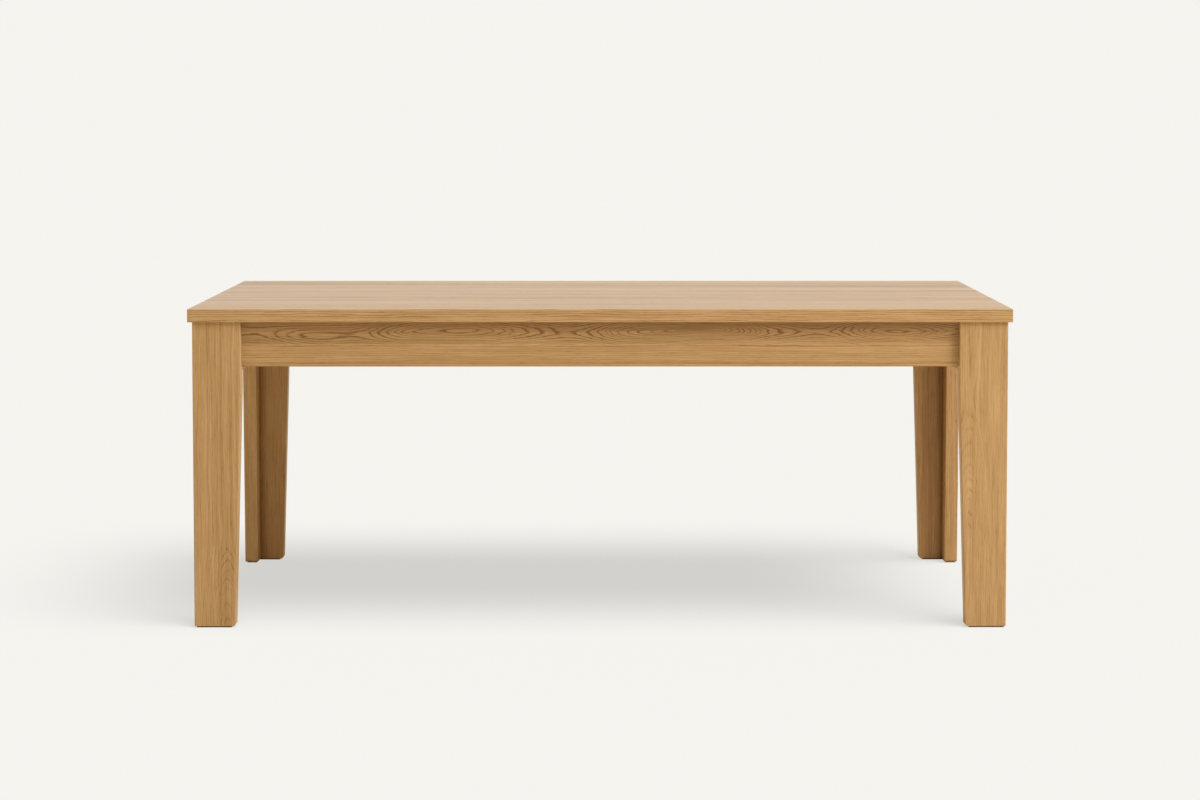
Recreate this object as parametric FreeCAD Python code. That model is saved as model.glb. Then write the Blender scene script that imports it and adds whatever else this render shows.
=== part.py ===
import FreeCAD, Part
import math
import os

# Dining table in solid oak, 2 m long: an edge-glued top on a frame of four aprons and four
# L-shaped legs.
#
# Each leg is two tapered boards joined along a splined mitre, with a core block glued into
# the top of the L. A brace is let into the two aprons across the corner, and two hanger
# bolts pull the core block, and with it the leg, tight against the ends of the aprons,
# where a loose tenon keeps each joint in line. Buttons in the grooves of the aprons hold
# the top and let it move across its width. Wood screws are not part of this model.
#
# Millimetres. +X runs along the table, -Y is the front, +Z is up. The origin is on the
# floor under the middle of the top.

Vector = FreeCAD.Vector
ORIGIN = Vector(0, 0, 0)
X_AXIS = Vector(1, 0, 0)
Y_AXIS = Vector(0, 1, 0)
Z_AXIS = Vector(0, 0, 1)
DIAGONAL = Vector(math.sqrt(0.5), math.sqrt(0.5), 0)

# ---------------------------------------------------------------- driving dimensions
# Table
TABLE_LENGTH = 2000.0
TABLE_DEPTH = 1000.0
TABLE_HEIGHT = 780.0

# Top: boards glued edge to edge, with all outer edges eased
TOP_THICKNESS = 32.0
TOP_BOARD_COUNT = 8
TOP_EASING = 2.0
TOP_OVERHANG = 10.0

# Legs: two boards per leg. The taper is on the inner edges and starts below the aprons.
LEG_BOARD_THICKNESS = 36.0
LEG_FACE_WIDTH = 118.0
LEG_END_WIDTH = 106.0
LEG_TAPER = 18.0
LEG_STRAIGHT_BELOW_APRON = 50.0
LEG_ARRIS_RADIUS = 3.0
FOOT_CORNER_CHAMFER = 5.0
FOOT_EASING = 1.5

# Loose spline in the mitre of each leg, measured along the mitre from the outer corner
SPLINE_THICKNESS = 5.0
SPLINE_WIDTH = 20.0
SPLINE_FROM_CORNER = 31.0
SPLINE_STOP_ABOVE_FOOT = 60.0

# Core block: fills the L behind the aprons and ends a little below them
CORE_BELOW_APRON = 10.0
CORE_FLAT_SETBACK = 32.0
CORE_EASING = 2.0

# Aprons: an upper and a lower board, flush with the inner faces of the leg boards
APRON_HEIGHT = 110.0
APRON_LOWER_BOARD_HEIGHT = 54.0
APRON_THICKNESS = 20.0
APRON_ARRIS_RADIUS = 2.0
GROOVE_BELOW_TOP = 14.0
GROOVE_HEIGHT = 8.0
GROOVE_DEPTH = 9.0

# Loose tenons between the ends of the aprons and the legs
TENON_THICKNESS = 8.0
TENON_HEIGHT = 50.0
TENON_LENGTH = 44.0
TENON_BELOW_GROOVE = 8.0

# Corner braces, with a tongue on each end that is let into the apron
BRACE_THICKNESS = 30.0
BRACE_HEIGHT = 70.0
BRACE_BELOW_GROOVE = 4.0
BRACE_TIP = 10.0
BRACE_TO_CORE = 8.0
BRACE_BOLT_EDGE = 18.0
TONGUE_THICKNESS = 8.0
TONGUE_DEPTH = 5.0
TONGUE_OFFSET = 12.0

# Hanger bolts with washers and nuts
BOLT_DIAMETER = 8.0
BOLT_IN_CORE = 45.0
BOLT_PAST_NUT = 6.0
WASHER_DIAMETER = 22.0
WASHER_THICKNESS = 2.0
NUT_ACROSS_FLATS = 13.0
NUT_HEIGHT = 6.5

# Wooden buttons
BUTTON_WIDTH = 42.0
BUTTON_REACH = 34.0
BUTTON_TONGUE = 8.0
BUTTON_GAP_TO_APRON = 0.5
BUTTON_CHAMFER = 4.0
BUTTON_BRACE_MARGIN = 25.0
BUTTONS_PER_LONG_APRON = 4
BUTTONS_PER_END_APRON = 2

# Cross rail under the middle of the top
RAIL_THICKNESS = 22.0
RAIL_HEIGHT = 80.0
RAIL_HOUSING_DEPTH = 6.0
RAIL_ARRIS_CHAMFER = 3.0

# Pads under the feet: one strip under each leg board
PAD_HEIGHT = 3.0
PAD_MARGIN = 5.0
PAD_JOINT = 4.0

# Clearances
ROUND_FIT = 0.15
FLAT_FIT = 0.2
SPLINE_END_ROOM = 0.8

# ---------------------------------------------------------------- derived positions
TOP_UNDERSIDE = TABLE_HEIGHT - TOP_THICKNESS
LEG_CORNER_X = TABLE_LENGTH / 2 - TOP_OVERHANG
LEG_CORNER_Y = TABLE_DEPTH / 2 - TOP_OVERHANG
INNER_X = LEG_CORNER_X - LEG_BOARD_THICKNESS
INNER_Y = LEG_CORNER_Y - LEG_BOARD_THICKNESS
FOOT_LEVEL = PAD_HEIGHT

APRON_UNDERSIDE = TOP_UNDERSIDE - APRON_HEIGHT
APRON_SEAM = APRON_UNDERSIDE + APRON_LOWER_BOARD_HEIGHT
TAPER_START = APRON_UNDERSIDE - LEG_STRAIGHT_BELOW_APRON
GROOVE_UPPER = TOP_UNDERSIDE - GROOVE_BELOW_TOP
GROOVE_LOWER = GROOVE_UPPER - GROOVE_HEIGHT
TENON_UPPER = GROOVE_LOWER - TENON_BELOW_GROOVE
TENON_LINE = LEG_BOARD_THICKNESS - APRON_THICKNESS / 2

# The core block and the brace are laid out from the inner corner of the L, with u along
# the long apron and v along the end apron. Their slanting faces lie on u + v = constant.
CORE_U = LEG_FACE_WIDTH - LEG_BOARD_THICKNESS
CORE_V = LEG_END_WIDTH - LEG_BOARD_THICKNESS
CORE_BOTTOM = APRON_UNDERSIDE - CORE_BELOW_APRON
CORE_FLAT = CORE_U + CORE_V - CORE_FLAT_SETBACK
BRACE_NEAR = CORE_FLAT + BRACE_TO_CORE * math.sqrt(2)
BRACE_FAR = BRACE_NEAR + BRACE_THICKNESS * math.sqrt(2)
BRACE_END = BRACE_FAR - BRACE_TIP
BRACE_TOP = GROOVE_LOWER - BRACE_BELOW_GROOVE
BRACE_BOTTOM = BRACE_TOP - BRACE_HEIGHT
WASHER_SEAT = BRACE_TO_CORE + BRACE_THICKNESS

BUTTON_THICKNESS = GROOVE_BELOW_TOP + GROOVE_HEIGHT - FLAT_FIT
BUTTON_UNDERSIDE = TOP_UNDERSIDE - BUTTON_THICKNESS
TOP_BOARD_WIDTH = TABLE_DEPTH / TOP_BOARD_COUNT


# ---------------------------------------------------------------- shape helpers
def block(x0, x1, y0, y1, z0, z1):
    """Box between two opposite corners."""
    return Part.makeBox(x1 - x0, y1 - y0, z1 - z0, Vector(x0, y0, z0))


def plate(corners, sweep):
    """Solid swept from the flat polygon through the corners."""
    face = Part.Face(Part.makePolygon(corners + corners[:1]))
    return face.extrude(sweep)


def prism(outline, z0, z1):
    """Upright prism over a plan outline given as (x, y) pairs."""
    return plate([Vector(x, y, z0) for x, y in outline], Vector(0, 0, z1 - z0))


def edges_in(shape, x=None, y=None, z=None):
    """Edges of a shape that lie wholly in the given plane or planes."""
    def lies(low, high, plane):
        return plane is None or (abs(low - plane) < 0.01 and abs(high - plane) < 0.01)

    return [
        edge for edge in shape.Edges
        if lies(edge.BoundBox.XMin, edge.BoundBox.XMax, x)
        and lies(edge.BoundBox.YMin, edge.BoundBox.YMax, y)
        and lies(edge.BoundBox.ZMin, edge.BoundBox.ZMax, z)
    ]


def aimed(shape, point, direction):
    """Copy of a shape made along +Z, with its origin at point and +Z along direction."""
    placed = shape.copy()
    placed.Placement = FreeCAD.Placement(point, FreeCAD.Rotation(Z_AXIS, direction))
    return placed


def turned_about_z(shape, degrees, shift):
    """Copy of a shape turned about the vertical axis and then shifted."""
    placed = shape.copy()
    placed.rotate(ORIGIN, Z_AXIS, degrees)
    placed.translate(shift)
    return placed


def across_diagonal(shape):
    """Mirror image that swaps x and y."""
    return shape.mirror(ORIGIN, Vector(1, -1, 0))


def spread(count, span):
    """Centres of count equal fields along a span about zero."""
    return [span * ((i + 0.5) / count - 0.5) for i in range(count)]


# ---------------------------------------------------------------- corners
# A corner is modelled with the outer corner of its leg at the origin, u along +X and v
# along +Y, which is how the front left leg stands. The other three are mirror images.
CORNERS = {
    "front_left": (False, False),
    "front_right": (True, False),
    "rear_left": (False, True),
    "rear_right": (True, True),
}


def at_corner(shape, corner):
    """Shape from the corner's own frame, placed at the named corner of the table."""
    to_right, to_rear = CORNERS[corner]
    placed = shape.copy()
    placed.translate(Vector(-LEG_CORNER_X, -LEG_CORNER_Y, 0))
    if to_right:
        placed = placed.mirror(ORIGIN, X_AXIS)
    if to_rear:
        placed = placed.mirror(ORIGIN, Y_AXIS)
    return placed


def at_inner_corner(shape):
    """Shape laid out from the inner corner of the L, moved into the corner's frame."""
    placed = shape.copy()
    placed.translate(Vector(LEG_BOARD_THICKNESS, LEG_BOARD_THICKNESS, 0))
    return placed


# ---------------------------------------------------------------- hardware
def hanger_bolt():
    """Hanger bolt along +Z: z = 0 is the face of the core block that it is screwed into."""
    end = WASHER_SEAT + WASHER_THICKNESS + NUT_HEIGHT + BOLT_PAST_NUT
    start = Vector(0, 0, -BOLT_IN_CORE)
    return Part.makeCylinder(BOLT_DIAMETER / 2, BOLT_IN_CORE + end, start)


def bolt_hole():
    """Clearance hole for the hanger bolt through the brace and into the core block."""
    depth = BOLT_IN_CORE + ROUND_FIT
    radius = BOLT_DIAMETER / 2 + ROUND_FIT
    return Part.makeCylinder(radius, depth + WASHER_SEAT + 1, Vector(0, 0, -depth))


def ringed(outer, height):
    """Outer shape of a washer or nut, bored to slip over the hanger bolt."""
    return outer.cut(Part.makeCylinder(BOLT_DIAMETER / 2 + ROUND_FIT, height))


def washer():
    """Flat washer standing on z = 0."""
    return ringed(Part.makeCylinder(WASHER_DIAMETER / 2, WASHER_THICKNESS), WASHER_THICKNESS)


def nut():
    """Hexagon nut standing on z = 0."""
    corner = NUT_ACROSS_FLATS / math.sqrt(3)
    turns = [math.radians(60 * i) for i in range(6)]
    hexagon = prism([(corner * math.cos(t), corner * math.sin(t)) for t in turns], 0, NUT_HEIGHT)
    return ringed(hexagon, NUT_HEIGHT)


def bolt_stations():
    """Points on the flat of the core block where the two hanger bolts leave it."""
    middle = LEG_BOARD_THICKNESS + CORE_FLAT / 2
    levels = (BRACE_BOTTOM + BRACE_BOLT_EDGE, BRACE_TOP - BRACE_BOLT_EDGE)
    return [Vector(middle, middle, level) for level in levels]


def corner_hardware():
    """Hardware of one corner in the corner's frame, by the node that gathers it."""
    rises = {
        "leg_hanger_bolts": (hanger_bolt(), 0),
        "leg_bolt_washers": (washer(), WASHER_SEAT),
        "leg_bolt_nuts": (nut(), WASHER_SEAT + WASHER_THICKNESS),
    }
    return {
        name: [aimed(shape, station + DIAGONAL * rise, DIAGONAL) for station in bolt_stations()]
        for name, (shape, rise) in rises.items()
    }


# ---------------------------------------------------------------- legs
def leg_board(width):
    """Mitred leg board along u, tapered on its inner edge, from the foot to the top.

    The side view is drawn in u and z and swept through the board's thickness. The arrises
    are rounded first, so that the mitre halves the round of the leg's outer corner.
    """
    foot_width = width - LEG_TAPER
    side_view = [
        (0, FOOT_LEVEL),
        (foot_width - FOOT_CORNER_CHAMFER, FOOT_LEVEL),
        (foot_width, FOOT_LEVEL + FOOT_CORNER_CHAMFER),
        (width, TAPER_START),
        (width, TOP_UNDERSIDE),
        (0, TOP_UNDERSIDE),
    ]
    thickness = Vector(0, LEG_BOARD_THICKNESS, 0)
    board = plate([Vector(u, 0, z) for u, z in side_view], thickness)
    outer_arris = edges_in(board, x=0, y=0)
    inner_arrises = [
        edge for edge in edges_in(board, y=0) + edges_in(board, y=LEG_BOARD_THICKNESS)
        if edge.BoundBox.XMin > width / 2 and edge.BoundBox.ZMin > FOOT_LEVEL
    ]
    board = board.makeFillet(LEG_ARRIS_RADIUS, outer_arris + inner_arrises)
    sole = edges_in(board, y=0, z=FOOT_LEVEL) + edges_in(board, y=LEG_BOARD_THICKNESS, z=FOOT_LEVEL)
    board = board.makeChamfer(FOOT_EASING, sole)
    past = LEG_BOARD_THICKNESS + 1
    return board.cut(prism([(-1, -1), (past, past), (-1, past)], 0, TABLE_HEIGHT))


def spline(room):
    """Spline across the mitre. room = 0 is the spline, room = 1 is its slot in the boards."""
    half_width = SPLINE_WIDTH / 2 + room * SPLINE_END_ROOM
    half_thickness = SPLINE_THICKNESS / 2 + room * FLAT_FIT
    bottom = FOOT_LEVEL + SPLINE_STOP_ABOVE_FOOT - room * SPLINE_END_ROOM
    bar = block(-half_width, half_width, -half_thickness, half_thickness, bottom, TOP_UNDERSIDE)
    return turned_about_z(bar, -45, DIAGONAL * SPLINE_FROM_CORNER)


def core_block():
    """Block in the L, flush with the inner edges of both boards, with a flat at 45 degrees."""
    outline = [
        (0, 0),
        (CORE_U, 0),
        (CORE_U, CORE_FLAT - CORE_U),
        (CORE_FLAT - CORE_V, CORE_V),
        (0, CORE_V),
    ]
    core = prism(outline, CORE_BOTTOM, TOP_UNDERSIDE)
    sides = edges_in(core, x=CORE_U, z=CORE_BOTTOM) + edges_in(core, y=CORE_V, z=CORE_BOTTOM)
    return at_inner_corner(core.makeChamfer(CORE_EASING, sides))


def tenon(room):
    """Loose tenon between leg and long apron. room = 1 is its mortise in both."""
    reach = TENON_LENGTH / 2 + room * FLAT_FIT
    half = TENON_THICKNESS / 2 + room * FLAT_FIT
    upper = TENON_UPPER + room * FLAT_FIT
    lower = TENON_UPPER - TENON_HEIGHT - room * FLAT_FIT
    return block(
        LEG_FACE_WIDTH - reach, LEG_FACE_WIDTH + reach, TENON_LINE - half, TENON_LINE + half,
        lower, upper,
    )


def end_tenon(room):
    """Loose tenon between leg and end apron. room = 1 is its mortise in both."""
    moved = tenon(room)
    moved.translate(Vector(LEG_END_WIDTH - LEG_FACE_WIDTH, 0, 0))
    return across_diagonal(moved)


def brace_tongue(room):
    """Tongue of the brace in the long apron. room = 1 is its slot in the apron."""
    fit = room * FLAT_FIT
    start = BRACE_NEAR + TONGUE_OFFSET
    return block(
        start - fit, start + TONGUE_THICKNESS + fit, -TONGUE_DEPTH - fit, 0,
        BRACE_BOTTOM - fit, BRACE_TOP + fit,
    )


def corner_brace():
    """Brace across the corner, seated on both aprons, with blunt tips and a tongue in each."""
    outline = [
        (BRACE_NEAR, 0),
        (BRACE_END, 0),
        (BRACE_END, BRACE_TIP),
        (BRACE_TIP, BRACE_END),
        (0, BRACE_END),
        (0, BRACE_NEAR),
    ]
    brace = prism(outline, BRACE_BOTTOM, BRACE_TOP)
    tongue = brace_tongue(0)
    return at_inner_corner(brace.fuse([tongue, across_diagonal(tongue)]))


def foot_pads():
    """Two pads under the L of a foot, clear of its eased edges and of each other."""
    far = LEG_BOARD_THICKNESS - PAD_MARGIN
    face_end = LEG_FACE_WIDTH - LEG_TAPER - FOOT_CORNER_CHAMFER - PAD_MARGIN
    end_end = LEG_END_WIDTH - LEG_TAPER - FOOT_CORNER_CHAMFER - PAD_MARGIN
    face_pad = block(PAD_MARGIN, face_end, PAD_MARGIN, far, 0, PAD_HEIGHT)
    end_pad = block(PAD_MARGIN, far, far + PAD_JOINT, end_end, 0, PAD_HEIGHT)
    return Part.makeCompound([face_pad, end_pad])


def corner_pieces():
    """The pieces of one corner in the corner's frame, by name."""
    bolt_holes = [aimed(bolt_hole(), station, DIAGONAL) for station in bolt_stations()]
    slot = spline(1)
    return {
        "leg_face_board": leg_board(LEG_FACE_WIDTH).cut([slot, tenon(1)]),
        "leg_end_board": across_diagonal(leg_board(LEG_END_WIDTH)).cut([slot, end_tenon(1)]),
        "leg_spline": spline(0),
        "leg_core_block": core_block().cut(bolt_holes),
        "long_apron_tenon": tenon(0),
        "end_apron_tenon": end_tenon(0),
        "corner_brace": corner_brace().cut(bolt_holes),
        "foot_pads": foot_pads(),
    }


# ---------------------------------------------------------------- top, aprons and rail
def top_boards():
    """Boards of the top, sliced from one eased slab so that their edges meet exactly."""
    half_length = TABLE_LENGTH / 2
    half_depth = TABLE_DEPTH / 2
    slab = block(-half_length, half_length, -half_depth, half_depth, TOP_UNDERSIDE, TABLE_HEIGHT)
    slab = slab.makeFillet(TOP_EASING, slab.Edges)
    boards = {}
    for number, centre in enumerate(spread(TOP_BOARD_COUNT, TABLE_DEPTH), start=1):
        low = centre - TOP_BOARD_WIDTH / 2
        strip = block(
            -half_length, half_length, low, low + TOP_BOARD_WIDTH, TOP_UNDERSIDE, TABLE_HEIGHT,
        )
        boards[f"top_board_{number}"] = slab.common(strip)
    return boards


def plain_apron(half_length):
    """Apron along x with its inner face on y = 0: grooved inside, rounded below."""
    apron = block(-half_length, half_length, -APRON_THICKNESS, 0, APRON_UNDERSIDE, TOP_UNDERSIDE)
    lower = edges_in(apron, y=0, z=APRON_UNDERSIDE)
    lower += edges_in(apron, y=-APRON_THICKNESS, z=APRON_UNDERSIDE)
    apron = apron.makeFillet(APRON_ARRIS_RADIUS, lower)
    return apron.cut(block(-half_length, half_length, -GROOVE_DEPTH, 0, GROOVE_LOWER, GROOVE_UPPER))


def rail_housing():
    """Housing for the end of the cross rail in a long apron, open at the top."""
    half = RAIL_THICKNESS / 2 + FLAT_FIT
    bottom = TOP_UNDERSIDE - RAIL_HEIGHT - FLAT_FIT
    return block(-half, half, -RAIL_HOUSING_DEPTH, 0, bottom, TOP_UNDERSIDE)


def apron_boards():
    """Upper and lower boards of the four aprons, cut for tenons, braces and cross rail."""
    tongue_slot = brace_tongue(1)
    corner_cuts = [
        tenon(1),
        end_tenon(1),
        at_inner_corner(tongue_slot),
        at_inner_corner(across_diagonal(tongue_slot)),
    ]
    cuts = [at_corner(cut, corner) for corner in CORNERS for cut in corner_cuts]
    long_apron = plain_apron(LEG_CORNER_X - LEG_FACE_WIDTH).cut(rail_housing())
    end_apron = plain_apron(LEG_CORNER_Y - LEG_END_WIDTH)
    aprons = {
        "front_apron": turned_about_z(long_apron, 0, Vector(0, -INNER_Y, 0)),
        "rear_apron": turned_about_z(long_apron, 180, Vector(0, INNER_Y, 0)),
        "left_end_apron": turned_about_z(end_apron, -90, Vector(-INNER_X, 0, 0)),
        "right_end_apron": turned_about_z(end_apron, 90, Vector(INNER_X, 0, 0)),
    }
    reach = TABLE_LENGTH
    above_seam = block(-reach, reach, -reach, reach, APRON_SEAM, TOP_UNDERSIDE)
    boards = {}
    for name, apron in aprons.items():
        finished = apron.cut(cuts)
        boards[f"{name}_upper_board"] = finished.common(above_seam)
        boards[f"{name}_lower_board"] = finished.cut(above_seam)
    return boards


def cross_rail():
    """Rail on edge between the long aprons, housed in both, with chamfered lower edges."""
    half = RAIL_THICKNESS / 2
    bottom = TOP_UNDERSIDE - RAIL_HEIGHT
    half_length = INNER_Y + RAIL_HOUSING_DEPTH - FLAT_FIT
    rail = block(-half, half, -half_length, half_length, bottom, TOP_UNDERSIDE)
    lower = edges_in(rail, x=-half, z=bottom) + edges_in(rail, x=half, z=bottom)
    return rail.makeChamfer(RAIL_ARRIS_CHAMFER, lower)


# ---------------------------------------------------------------- buttons
def button():
    """Button under the top: the apron's inner face is y = 0, and its tongue is at y < 0."""
    half = BUTTON_WIDTH / 2
    side_view = [
        (-BUTTON_TONGUE, BUTTON_UNDERSIDE),
        (BUTTON_REACH - BUTTON_CHAMFER, BUTTON_UNDERSIDE),
        (BUTTON_REACH, BUTTON_UNDERSIDE + BUTTON_CHAMFER),
        (BUTTON_REACH, TOP_UNDERSIDE),
        (BUTTON_GAP_TO_APRON, TOP_UNDERSIDE),
        (BUTTON_GAP_TO_APRON, GROOVE_UPPER - FLAT_FIT),
        (-BUTTON_TONGUE, GROOVE_UPPER - FLAT_FIT),
    ]
    return plate([Vector(-half, y, z) for y, z in side_view], Vector(BUTTON_WIDTH, 0, 0))


def all_buttons():
    """The buttons of all four aprons, spaced between the corner braces."""
    long_span = 2 * (INNER_X - BRACE_END - BUTTON_BRACE_MARGIN)
    end_span = 2 * (INNER_Y - BRACE_END - BUTTON_BRACE_MARGIN)
    shape = button()
    buttons = []
    for x in spread(BUTTONS_PER_LONG_APRON, long_span):
        buttons.append(turned_about_z(shape, 0, Vector(x, -INNER_Y, 0)))
        buttons.append(turned_about_z(shape, 180, Vector(x, INNER_Y, 0)))
    for y in spread(BUTTONS_PER_END_APRON, end_span):
        buttons.append(turned_about_z(shape, -90, Vector(-INNER_X, y, 0)))
        buttons.append(turned_about_z(shape, 90, Vector(INNER_X, y, 0)))
    return buttons


# ---------------------------------------------------------------- assembly
def build_nodes():
    """Every node of the table, by name."""
    nodes = top_boards()
    nodes.update(apron_boards())
    nodes["centre_cross_rail"] = cross_rail()
    nodes["top_buttons"] = Part.makeCompound(all_buttons())
    for name, shape in corner_pieces().items():
        for corner in CORNERS:
            nodes[f"{corner}_{name}"] = at_corner(shape, corner)
    for name, shapes in corner_hardware().items():
        placed = [at_corner(shape, corner) for corner in CORNERS for shape in shapes]
        nodes[name] = Part.makeCompound(placed)
    return nodes


os.makedirs("parts", exist_ok=True)
for node_name, node_shape in build_nodes().items():
    node_shape.exportStep(os.path.join("parts", f"{node_name}.step"))
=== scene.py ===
"""Dining table in solid oak: finishes, small fasteners, light and camera.

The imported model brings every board, block and bolt at its place. This script gives each board
a grain of its own, cut from its own log, adds the screws and the threads, and lights the table
on a pale floor. Lengths are in metres; +X runs along the table, -Y is its front and +Z is up.
"""
import logging
import math
from dataclasses import dataclass
from enum import Enum
from typing import Dict, List, Optional, Sequence, Tuple, Union

import bmesh
import bpy
import numpy as np
from mathutils import Euler, Matrix, Vector


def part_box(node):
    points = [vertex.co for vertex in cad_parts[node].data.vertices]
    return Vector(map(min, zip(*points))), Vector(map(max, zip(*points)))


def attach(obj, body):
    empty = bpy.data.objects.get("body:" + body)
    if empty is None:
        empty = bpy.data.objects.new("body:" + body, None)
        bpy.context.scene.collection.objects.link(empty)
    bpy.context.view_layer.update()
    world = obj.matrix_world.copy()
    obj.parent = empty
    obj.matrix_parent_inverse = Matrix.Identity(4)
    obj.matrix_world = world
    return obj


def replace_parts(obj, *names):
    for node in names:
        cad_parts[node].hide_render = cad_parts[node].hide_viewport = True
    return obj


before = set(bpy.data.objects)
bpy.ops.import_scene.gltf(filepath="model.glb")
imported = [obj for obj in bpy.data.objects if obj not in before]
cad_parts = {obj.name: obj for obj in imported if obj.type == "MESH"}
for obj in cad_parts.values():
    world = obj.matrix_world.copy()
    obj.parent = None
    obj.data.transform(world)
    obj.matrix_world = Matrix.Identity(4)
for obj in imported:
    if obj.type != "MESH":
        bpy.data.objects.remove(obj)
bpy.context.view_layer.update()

log = logging.getLogger("oak_table")

Triple = Tuple[float, float, float]
Pair = Tuple[float, float]
Surface = Tuple[np.ndarray, np.ndarray]
Socket = bpy.types.NodeSocket
Feed = Union[Socket, float, Sequence[float], None]

DIAGONAL = math.sqrt(0.5)  # x and y of a level unit vector that points between the axes
MERGE_DISTANCE = 1e-6
SHARP_ANGLE = math.radians(32)
MIX_OTHERS = (None,) * 5  # a Mix node's inputs for numbers and vectors, before those for colours
MIX_RESULT = 2


class Way(Enum):
    """Directions that grain and faces point in, as unit vectors of the table's frame."""

    RIGHT = (1.0, 0.0, 0.0)
    LEFT = (-1.0, 0.0, 0.0)
    REAR = (0.0, 1.0, 0.0)
    FRONT = (0.0, -1.0, 0.0)
    UP = (0.0, 0.0, 1.0)
    DOWN = (0.0, 0.0, -1.0)
    RISING = (DIAGONAL, DIAGONAL, 0.0)
    FALLING = (DIAGONAL, -DIAGONAL, 0.0)


class Corner(Enum):
    """The four corners of the table, as the signs of x and y."""

    FRONT_LEFT = (-1, -1)
    FRONT_RIGHT = (1, -1)
    REAR_LEFT = (-1, 1)
    REAR_RIGHT = (1, 1)

    @property
    def prefix(self) -> str:
        """Start of the names of this corner's nodes."""
        return self.name.lower()


# ---- node graphs
class Graph:
    """Adds nodes to a node tree and wires them.

    Args:
        tree: the node tree of a material, world or group.
    """

    def __init__(self, tree: bpy.types.NodeTree) -> None:
        """Keeps the tree that nodes are added to."""
        self.tree = tree

    def feed(self, socket: Socket, value: Feed) -> None:
        """Links a socket to an output, or sets its constant.

        Args:
            socket: the input.
            value: the output or the constant; None leaves the input as it is.
        """
        if isinstance(value, bpy.types.NodeSocket):
            self.tree.links.new(value, socket)
        elif value is not None:
            socket.default_value = value

    def fill(self, node: bpy.types.Node, inputs: Dict[str, Feed]) -> bpy.types.Node:
        """Feeds inputs of a node by name.

        Args:
            node: the node.
            inputs: what the inputs get.

        Returns:
            The node.
        """
        for name, value in inputs.items():
            self.feed(node.inputs[name], value)
        return node

    def node(self, kind: str, *values: Feed, **settings: object) -> bpy.types.Node:
        """Adds a node.

        Args:
            kind: the node's class name, such as "ShaderNodeMath".
            values: what its first inputs get, in order.
            settings: attributes to set on it.

        Returns:
            The new node.
        """
        made = self.tree.nodes.new(kind)
        for name, value in settings.items():
            setattr(made, name, value)
        for socket, value in zip(made.inputs, values):
            self.feed(socket, value)
        return made

    def group(self, name: str, inputs: Dict[str, Feed]) -> bpy.types.NodeOutputs:
        """Outputs of a node group whose inputs are fed by name."""
        made = self.node("ShaderNodeGroup", node_tree=bpy.data.node_groups[name])
        return self.fill(made, inputs).outputs

    def math(self, operation: str, *values: Feed, clamp: bool = False) -> Socket:
        """Result of a Math node on one to three values."""
        return self.node("ShaderNodeMath", *values, operation=operation, use_clamp=clamp).outputs[0]

    def total(self, start: Feed, *terms: Tuple[Socket, float]) -> Feed:
        """A start value plus each term's output times its weight.

        Args:
            start: the value to start from.
            terms: outputs and their weights.

        Returns:
            The sum.
        """
        for value, weight in terms:
            start = self.math("MULTIPLY_ADD", value, weight, start)
        return start

    def vector(self, operation: str, *values: Feed) -> Socket:
        """Result of a Vector Math node, which some operations give as a value."""
        made = self.node("ShaderNodeVectorMath", *values, operation=operation)
        return made.outputs["Value" if operation in ("LENGTH", "DOT_PRODUCT") else "Vector"]

    def scale(self, vector: Socket, factor: Feed) -> Socket:
        """A vector times a number."""
        return self.fill(self.vector("SCALE", vector).node, {"Scale": factor}).outputs["Vector"]

    def split(self, vector: Socket) -> List[Socket]:
        """The three components of a vector."""
        return list(self.node("ShaderNodeSeparateXYZ", vector).outputs)

    def join(self, x: Feed, y: Feed, z: Feed) -> Socket:
        """A vector from its components."""
        return self.node("ShaderNodeCombineXYZ", x, y, z).outputs[0]

    def smooth(self, value: Feed, low: Feed, high: Feed, *results: float) -> Socket:
        """Smooth step of a value between low and high, from 0 to 1 or between two results."""
        ends = (value, low, high, *results)
        return self.node("ShaderNodeMapRange", *ends, interpolation_type="SMOOTHSTEP").outputs[0]

    def noise(
        self, vector: Socket, detail: float = 2.0, roughness: float = 0.5, colour: bool = False
    ) -> Socket:
        """Noise with features of about one unit, as a value about 0.5 or as a colour."""
        inputs = {"Vector": vector, "Scale": 1.0, "Detail": detail, "Roughness": roughness}
        return self.fill(self.node("ShaderNodeTexNoise"), inputs).outputs["Color" if colour else "Fac"]

    def mix(self, share: Feed, *colours: Feed) -> Socket:
        """Two colours, each an output or three numbers, mixed with a share of the second."""
        fed = ((*colour, 1.0) if isinstance(colour, tuple) else colour for colour in colours)
        return self.node("ShaderNodeMix", share, *MIX_OTHERS, *fed, data_type="RGBA").outputs[MIX_RESULT]

    def ramp(self, factor: Socket, *colours: Triple) -> Socket:
        """Colour ramp from 0 to 1 through three colours.

        Args:
            factor: the value that picks the colour.
            colours: the colours at 0, 0.5 and 1.

        Returns:
            The colour.
        """
        made = self.node("ShaderNodeValToRGB", factor)
        made.color_ramp.elements.new(0.5)
        for element, colour in zip(made.color_ramp.elements, colours):
            element.color = (*colour, 1.0)
        return made.outputs[0]

    def bump(self, height: Socket, strength: float, distance: float) -> Socket:
        """Normal of a surface whose height of 1 stands for the distance."""
        return self.fill(self.node("ShaderNodeBump", strength, distance), {"Height": height}).outputs[0]


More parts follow.
